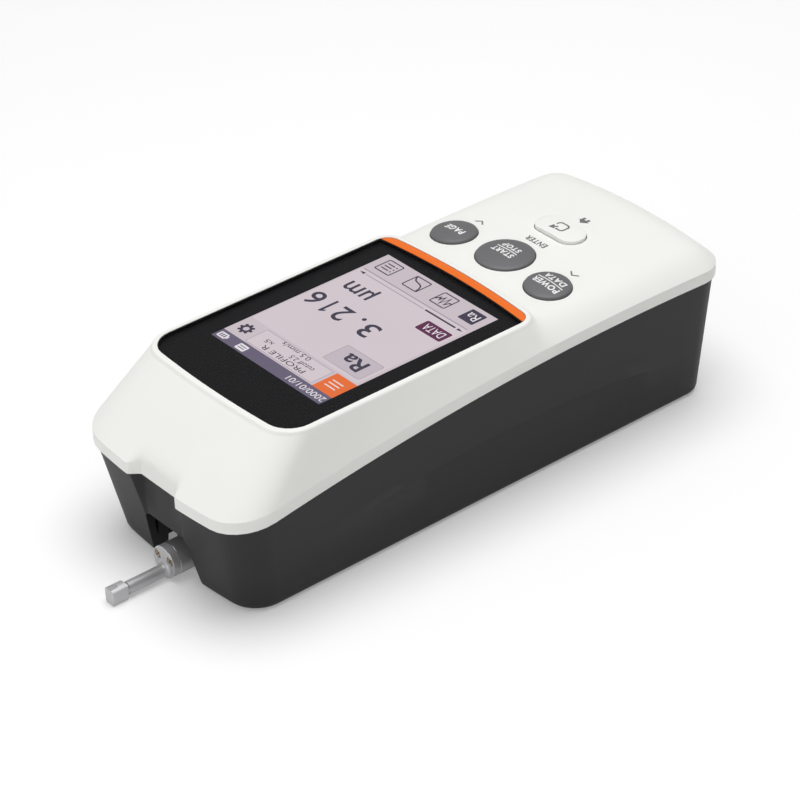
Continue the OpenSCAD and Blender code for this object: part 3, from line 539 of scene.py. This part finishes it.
wave = [(0.04, 0.5), (0.14, 0.5), (0.24, 0.78), (0.36, 0.2), (0.5, 0.85), (0.62, 0.3), (0.72, 0.62),
        (0.82, 0.42), (0.96, 0.68)]
bearing = [(0.06, 0.97), (0.1, 0.72), (0.2, 0.52), (0.38, 0.42), (0.6, 0.38), (0.78, 0.32), (0.9, 0.18),
           (0.95, 0.03)]
LIST_Y = (-23.5, -24.7, -25.9)
list_lines = [line(ICON_X[3] + 1.9, y, ICON_X[3] + 4.6, y, 0.4, 1) for y in LIST_Y]
list_dots = [disc(ICON_X[3] + 1.1, y, 0.26, 16) for y in LIST_Y]

# Digits of the reading, by their left edge, and a plain 1 of a stem with a flag
READING = {"3": -5.75, "2": 4.85, "6": 15.45}
DIGIT_W = 4.3
DIGIT_Y = (-4.6, 1.8)
ONE_AT = (11.1, DIGIT_Y[0])
ONE = [(0.75, 0), (1.6, 0), (1.6, 6.4), (1.05, 6.4), (0, 5.5), (0, 4.7), (0.75, 5.3)]
digits = [word(d, x, DIGIT_Y[0], x + DIGIT_W, DIGIT_Y[1], 0.01) for d, x in READING.items()]
digits.append(shape([(ONE_AT[0] + x, ONE_AT[1] + y) for x, y in ONE]))

on_screen("screen_ink", digits + [
    shape(disc(1.1, DIGIT_Y[0] + 0.65, 0.65, 24)),
    word("Ra", -16.4, 8.2, -8.7, 13.2, 0.02),
    word("µm", 8, -15.4, 17.6, -9.8, 0.012),
    word("PROFILE R", -7.8, 21.7, 8.6, 23.4),
    word("cutoff 2.5", -8.6, 19.5, 0.2, 21.1),
    word("x5", 7.4, 19.5, 10.2, 21),
    word("0.5 mm/s", -4.4, 17.1, 6.4, 18.7),
    shape(*gear(17.7, 20.6, 2.25, 1.65, 0.85)),
    shape(*line(-17.2, TRACK_Y, -5.6, TRACK_Y, 0.6)),
    shape([(-19.9, TRACK_Y), (-18, TRACK_Y - 0.5), (-18, TRACK_Y + 0.5)]),
    shape([(20.3, TRACK_Y), (18.4, TRACK_Y + 0.5), (18.4, TRACK_Y - 0.5)]),
    shape(icon_box(ICON_X[0])),
    *[shape(*stroke(icon_box(x), ICON_LINE, closed=True)) for x in ICON_X[1:]],
    shape(*stroke(icon_points(ICON_X[1], wave), WAVE_LINE)),
    shape(*stroke(icon_points(ICON_X[2], bearing), CURVE_LINE)),
    *[shape(*loops) for loops in list_lines],
    *[shape(dot) for dot in list_dots],
    ], INK, 4)
on_screen("screen_light", [
    word("2000/01/01", left + 0.7, bar_y + 1.1, -6.8, top - 1.1),
    *[shape(*line(-19.2, y, -15.2, y, 0.36, 1)) for y in (19.3, 20.6, 21.9)],
    word("DATA", -18.3, -14.6, -11.2, -11.9),
    word("Ra", ICON_X[0] + 0.9, -26.2, ICON_X[0] + 4.7, -23.3),
    shape(rounded(9.8, bar_y + 0.9, 13.2, top - 0.8, 0.4)),
    shape(rounded(17.7, bar_y + 1, 20.8, top - 1, 0.4)),
    shape(rounded(17.2, bar_y + 1.6, 17.6, top - 1.6)),
    ], SCREEN_LIGHT, 5)
on_screen("screen_marks", [
    *[shape(*line(10.3, y, 12.7, y, 0.3, 1)) for y in (bar_y + 1.7, bar_y + 2.5)],
    *[shape(rounded(x, bar_y + 1.4, x + 0.45, top - 1.4)) for x in (18.2, 19.0, 19.8)],
    ], BAR, 6)

# Legends on the keys and on the deck

LEGEND_T = 0.06
LEGEND_LIFT = -0.015
LEGEND_SPACING = 1.14
CAP = 2.2
LINE_GAP = 0.65
LINE_W = 0.34


def legend(name, meshes, node_name, body, material, slot):
    """Print on the upper surface of a node, sunk a little so that no gap shows."""
    place(name, meshes, node_surface(node_name), material, body, slot, LEGEND_LIFT)


def legend_word(body, x, y, width, height=CAP, weight=0.03):
    """Word with its middle at x, y."""
    box = (x - width / 2, y - height / 2, x + width / 2, y + height / 2)
    return text_mesh(body, box, LEGEND_T, weight, LEGEND_SPACING)


def legend_shape(*loops):
    return loops_mesh(list(loops), LEGEND_T)


def divider(x, y, length, width, steps=12):
    """Closed strip of short pieces, so that it follows the dome of a key."""
    built = bmesh.new()
    rows = []
    for i in range(steps + 1):
        at = x + length * (i / steps - 0.5)
        corners = ((-width / 2, 0), (width / 2, 0), (width / 2, LEGEND_T), (-width / 2, LEGEND_T))
        rows.append([built.verts.new((at, y + side, z)) for side, z in corners])
    for a, b in zip(rows, rows[1:]):
        for i in range(4):
            built.faces.new((a[i], a[i - 1], b[i - 1], b[i]))
    built.faces.new(rows[0])
    built.faces.new(rows[-1])
    mesh = bpy.data.meshes.new("divider")
    built.to_mesh(mesh)
    built.free()
    return mesh


def middle_of(node_name):
    low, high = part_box(node_name)
    return (low + high) / 2 / MM


def two_lines(node_name, body, shift, cap, upper, lower):
    """Two words over each other with a line between, shifted from the middle of a key."""
    at = middle_of(node_name) + Vector((*shift, 0))
    rise = cap / 2 + LINE_GAP
    length = max(upper[1], lower[1])
    legend(body + "_legend", [
        legend_word(upper[0], at.x, at.y + rise, upper[1], cap),
        divider(at.x, at.y, length, LINE_W),
        legend_word(lower[0], at.x, at.y - rise, lower[1], cap),
        ], node_name, body, INK_LIGHT, "cover")


two_lines("start_key", "start", (0.3, -1.0), 1.9, ("START", 7.4), ("STOP", 6.2))
two_lines("power_key", "power", (-0.3, -0.8), 2.1, ("POWER", 9.0), ("DATA", 7.2))
page_at = middle_of("page_key")
PAGE_SHIFT = -0.25
legend("page_legend", [legend_word("PAGE", page_at.x, page_at.y + PAGE_SHIFT, 6.4)],
       "page_key", "page", INK_LIGHT, "cover")

# Enter key: a sheet with an arrow leaving it
enter_at = middle_of("enter_key")
sheet = [(0.2, 1.5), (-1.3, 1.5), (-1.9, 1.1), (-2.0, 0.5), (-2.0, -1.0), (-1.6, -1.6), (-1.0, -1.8),
         (0.8, -1.8), (1.4, -1.6), (1.7, -1.0), (1.7, -0.4)]
SHEET_LINE = 0.5
arrow_head = [(2.3, 2.1), (0.3, 1.8), (0.85, 1.25), (0.15, 0.55), (0.55, 0.15), (1.25, 0.85), (1.95, 0.2)]
legend("enter_legend", [
    legend_shape(*stroke([(enter_at.x + x, enter_at.y + y) for x, y in sheet], SHEET_LINE)),
    legend_shape([(enter_at.x + x, enter_at.y + y) for x, y in arrow_head]),
    ], "enter_key", "enter", INK_DARK, "key")


CHEVRON_HALF = 1.5
CHEVRON_RISE = 0.6
CHEVRON_LINE = 0.42
CHEVRON_BACK = 9.0
MARK_STEP = 8.4


def chevron(x, y, way):
    """Small open arrow that points up the deck, or down it."""
    rise = CHEVRON_RISE * way
    points = [(x - CHEVRON_HALF, y - rise), (x, y + rise), (x + CHEVRON_HALF, y - rise)]
    return legend_shape(*stroke(points, CHEVRON_LINE))


def house(x, y):
    """House with a door."""
    outline = [(0, 1.5), (1.7, 0), (1.2, 0), (1.2, -1.3), (0.4, -1.3), (0.4, -0.4), (-0.4, -0.4),
               (-0.4, -1.3), (-1.2, -1.3), (-1.2, 0), (-1.7, 0)]
    return legend_shape([(x + u, y + v) for u, v in outline])


power_at = middle_of("power_key")
legend("deck_legend", [
    legend_word("ENTER", 0, enter_at.y + MARK_STEP, 7.4, 2.0, 0.025),
    chevron(power_at.x, power_at.y - CHEVRON_BACK, 1),
    chevron(page_at.x, page_at.y - CHEVRON_BACK, -1),
    house(0, enter_at.y - MARK_STEP),
    ], "top_cover", "housing", INK_DARK, "key")

# Lead screw with its thread

screw_low, screw_high = [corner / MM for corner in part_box("lead_screw")]
screw_mid = (screw_low + screw_high) / 2
SCREW_R = (screw_high.x - screw_low.x) / 2
PITCH = 1.0
THREAD_DEPTH = 0.25
TURN_STEPS = 24
PITCH_STEPS = 8


def thread_ring(built, y):
    """Ring of points whose radius follows a V thread."""
    ring = []
    for i in range(TURN_STEPS):
        share = (y / PITCH + i / TURN_STEPS) % 1
        r = SCREW_R - THREAD_DEPTH * abs(2 * share - 1)
        a = math.tau * i / TURN_STEPS
        point = (screw_mid.x + r * math.cos(a), y, screw_mid.z + r * math.sin(a))
        ring.append(built.verts.new(Vector(point) * MM))
    return ring


def threaded_rod():
    """Closed rod with a thread along its whole length."""
    built = bmesh.new()
    count = round((screw_high.y - screw_low.y) / PITCH * PITCH_STEPS)
    step = (screw_high.y - screw_low.y) / count
    rings = [thread_ring(built, screw_low.y + i * step) for i in range(count + 1)]
    for a, b in zip(rings, rings[1:]):
        for i in range(TURN_STEPS):
            j = (i + 1) % TURN_STEPS
            built.faces.new((a[i], a[j], b[j], b[i]))
    built.faces.new(rings[0])
    built.faces.new(rings[-1])
    bmesh.ops.recalc_face_normals(built, faces=built.faces)
    return built


thread = finish_piece("lead_screw_thread", threaded_rod(), SLOT_MATERIALS["steel"], "screw")
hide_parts("lead_screw")

# Nose screws with a cross recess

nose_low, nose_high = [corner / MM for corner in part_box("nosepiece_screws")]
HEAD_R = 1.25
HEAD_T = 0.75
SHANK_R = 0.9
CROSS_W = 0.42
CROSS_LEN = 1.7
CROSS_DEPTH = 0.45
SHANK_CHAMFER = 0.15
# Round of the head: distance under its face and inset from its radius
HEAD_ROUND = [(0.25, 0), (0.08, 0.15), (0, 0.45)]


def lathe(built, x, z, profile, steps=32):
    """Solid of revolution about a line along Y through x, z, from (y, radius) pairs."""
    rings = []
    turns = [math.tau * i / steps for i in range(steps)]
    for y, r in profile:
        points = [Vector((x + r * math.cos(a), y, z + r * math.sin(a))) for a in turns]
        rings.append([built.verts.new(point * MM) for point in points])
    for a, b in zip(rings, rings[1:]):
        for i in range(steps):
            j = (i + 1) % steps
            built.faces.new((a[i], b[i], b[j], a[j]))
    built.faces.new(rings[0])
    built.faces.new(rings[-1][::-1])


def cutter_box(size):
    """Box about the origin that is taken out of a piece."""
    built = bmesh.new()
    bmesh.ops.create_cube(built, size=1.0)
    for vertex in built.verts:
        vertex.co = Vector(s * v for s, v in zip(size, vertex.co)) * MM
    mesh = bpy.data.meshes.new("cutter")
    built.to_mesh(mesh)
    built.free()
    cutter = bpy.data.objects.new("cutter", mesh)
    bpy.context.scene.collection.objects.link(cutter)
    return cutter


def cut(piece, cutters):
    """Takes the cutters out of a piece's mesh."""
    for cutter in cutters:
        taken = piece.modifiers.new("cut", "BOOLEAN")
        taken.object = cutter
        taken.solver = "EXACT"
    graph = bpy.context.evaluated_depsgraph_get()
    mesh = bpy.data.meshes.new_from_object(piece.evaluated_get(graph))
    piece.modifiers.clear()
    piece.data = mesh
    for cutter in cutters:
        bpy.data.objects.remove(cutter)


def nose_screws():
    """Both screws as one piece, each with a turned shank and head and a cross recess."""
    built = bmesh.new()
    face = nose_high.y
    z = (nose_low.z + nose_high.z) / 2
    places = (nose_low.x + HEAD_R, nose_high.x - HEAD_R)
    for x in places:
        lathe(built, x, z, [
            (nose_low.y, SHANK_R - SHANK_CHAMFER), (nose_low.y + SHANK_CHAMFER, SHANK_R),
            (face - HEAD_T, SHANK_R), (face - HEAD_T, HEAD_R),
            *[(face - under, HEAD_R - inset) for under, inset in HEAD_ROUND]])
    bmesh.ops.recalc_face_normals(built, faces=built.faces)
    piece = finish_piece("nose_screw_heads", built, SLOT_MATERIALS["screw"], "detector")
    cutters = []
    for x in places:
        for turn in (1, -1):
            arm = cutter_box((CROSS_LEN, 2 * CROSS_DEPTH, CROSS_W))
            to_face = Matrix.Translation(Vector((x, face, z)) * MM)
            arm.matrix_world = to_face @ Matrix.Rotation(turn * math.pi / 4, 4, "Y")
            cutters.append(arm)
    bpy.context.view_layer.update()
    cut(piece, cutters)
    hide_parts("nosepiece_screws")


nose_screws()

# Painted highlights on the flange's turned edges, where it meets the barrel and at its front: thin beads in
# a lighter, glossier steel than the flange

FLANGE_T = 2.2
EDGE_DEPTH = 0.2
SEAM_EDGE = [(-0.17, -0.02), (-0.06, 0.03), (0.06, 0.03), (0.17, -0.02),
             (0.17, -EDGE_DEPTH), (-0.17, -EDGE_DEPTH)]
FRONT_EDGE = [(-0.15, -0.02), (-0.05, 0.02), (0.02, -0.06), (0.02, -EDGE_DEPTH), (-0.15, -EDGE_DEPTH)]


def ring(built, y, radius, z, profile, steps=64):
    """Closed ring about a line along Y at a height z, from (y, radius) steps off a circle."""
    rows = []
    for i in range(steps):
        a = math.tau * i / steps
        way = Vector((math.cos(a), 0, math.sin(a)))
        points = [way * (radius + dr) + Vector((0, y + dy, z)) for dy, dr in profile]
        rows.append([built.verts.new(point * MM) for point in points])
    for a, b in zip(rows, rows[1:] + rows[:1]):
        for i in range(len(profile)):
            built.faces.new((a[i], a[i - 1], b[i - 1], b[i]))


body_low, body_high = [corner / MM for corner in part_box("detector_body")]
flange_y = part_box("nosepiece")[0].y / MM
barrel_r = (body_high.x - body_low.x) / 2
barrel_z = (body_high.z + body_low.z) / 2
edges = bmesh.new()
ring(edges, flange_y, barrel_r, barrel_z, SEAM_EDGE)
ring(edges, flange_y + FLANGE_T, barrel_r, barrel_z, FRONT_EDGE)
bmesh.ops.recalc_face_normals(edges, faces=edges.faces)
# The beads use the turned steel, lighter and glossier than the detector metal, as painted highlight lines
finish_piece("flange_edge_highlights", edges, SLOT_MATERIALS["steel"], "detector")

# Floor, light and camera

FLOOR_SIZE = 4.0
FLOOR_GLOW = 0.22
FLOOR_GAP = 0.05
WORLD_LIGHT = 0.34
AIM = (0, 0, 0.03)
# Lamps: place in metres, size in metres, power in watts
LAMPS = {
    "overhead": ((0.0, -0.04, 0.9), 0.8, 6.1),
    "front_fill": ((0.0, 0.8, 0.12), 0.4, 1.2),
    "left_fill": ((-0.5, 0.8, 0.3), 0.5, 0.2),
}


def floor_material():
    """Pale floor that keeps the shadow and looks white to the camera, to metal and to glass."""
    material, tree, shader = new_material("floor", Base_Color=rgba((232, 232, 232)), Roughness=0.8,
                                          Specular_IOR_Level=0.1)
    path = add_node(tree, "ShaderNodeLightPath")
    seen = add_node(tree, "ShaderNodeMath", operation="MAXIMUM")
    shown = add_node(tree, "ShaderNodeMath", operation="MAXIMUM")
    glow = add_node(tree, "ShaderNodeMath", {1: FLOOR_GLOW}, operation="MULTIPLY")
    tree.links.new(path.outputs["Is Camera Ray"], seen.inputs[0])
    tree.links.new(path.outputs["Is Glossy Ray"], seen.inputs[1])
    tree.links.new(seen.outputs[0], shown.inputs[0])
    tree.links.new(path.outputs["Is Transmission Ray"], shown.inputs[1])
    tree.links.new(shown.outputs[0], glow.inputs[0])
    shader.inputs["Emission Color"].default_value = (1, 1, 1, 1)
    tree.links.new(glow.outputs[0], shader.inputs["Emission Strength"])
    return material


def make_floor():
    """Large plane just under the base."""
    built = bmesh.new()
    bmesh.ops.create_grid(built, x_segments=1, y_segments=1, size=FLOOR_SIZE)
    mesh = bpy.data.meshes.new("floor")
    built.to_mesh(mesh)
    built.free()
    mesh.materials.append(floor_material())
    floor = bpy.data.objects.new("floor", mesh)
    floor.location.z = -FLOOR_GAP * MM
    bpy.context.scene.collection.objects.link(floor)


def area_light(name, at, size, power):
    """Round lamp turned to the part."""
    data = bpy.data.lights.new(name, "AREA")
    data.shape = "DISK"
    data.size = size
    data.energy = power
    lamp = bpy.data.objects.new(name, data)
    bpy.context.scene.collection.objects.link(lamp)
    lamp.location = at
    lamp.rotation_euler = (Vector(AIM) - Vector(at)).to_track_quat("-Z", "Y").to_euler()


CAMERA_AZIMUTH = 231.16
CAMERA_ELEVATION = 33.25
CAMERA_ROLL = -1.89
CAMERA_DISTANCE = 0.80832
CAMERA_LENS = 145.8
SENSOR = 36.0
CLIP_START = 0.01
LOOK_AT = Vector((0.0, screen_y, 46.8)) * MM
FRAME_SHIFT = (0.01126, -0.01848)


def make_camera():
    """Camera of the photograph: set by azimuth, elevation and roll, with the look-at point off centre."""
    a = math.radians(CAMERA_AZIMUTH)
    e = math.radians(CAMERA_ELEVATION)
    r = math.radians(CAMERA_ROLL)
    back = Vector((math.sin(a) * math.cos(e), -math.cos(a) * math.cos(e), math.sin(e)))
    level = Vector((0, 0, 1)).cross(back).normalized()
    rise = back.cross(level)
    right_way = level * math.cos(r) + rise * math.sin(r)
    up_way = rise * math.cos(r) - level * math.sin(r)
    at = LOOK_AT + right_way * FRAME_SHIFT[0] + up_way * FRAME_SHIFT[1] + back * CAMERA_DISTANCE
    data = bpy.data.cameras.new("camera")
    data.lens = CAMERA_LENS
    data.sensor_width = SENSOR
    data.clip_start = CLIP_START
    camera = bpy.data.objects.new("camera", data)
    bpy.context.scene.collection.objects.link(camera)
    turn = Matrix((right_way, up_way, back)).transposed().to_4x4()
    camera.matrix_world = Matrix.Translation(at) @ turn
    bpy.context.scene.camera = camera


def make_world():
    """Even white light from all round."""
    world = bpy.data.worlds.new("studio")
    world.use_nodes = True
    bpy.context.scene.world = world
    sky = world.node_tree.nodes["Background"]
    sky.inputs["Color"].default_value = (1, 1, 1, 1)
    sky.inputs["Strength"].default_value = WORLD_LIGHT


make_floor()
make_world()
for lamp_name, settings in LAMPS.items():
    area_light(lamp_name, *settings)
make_camera()
bpy.context.scene.view_settings.view_transform = "Standard"
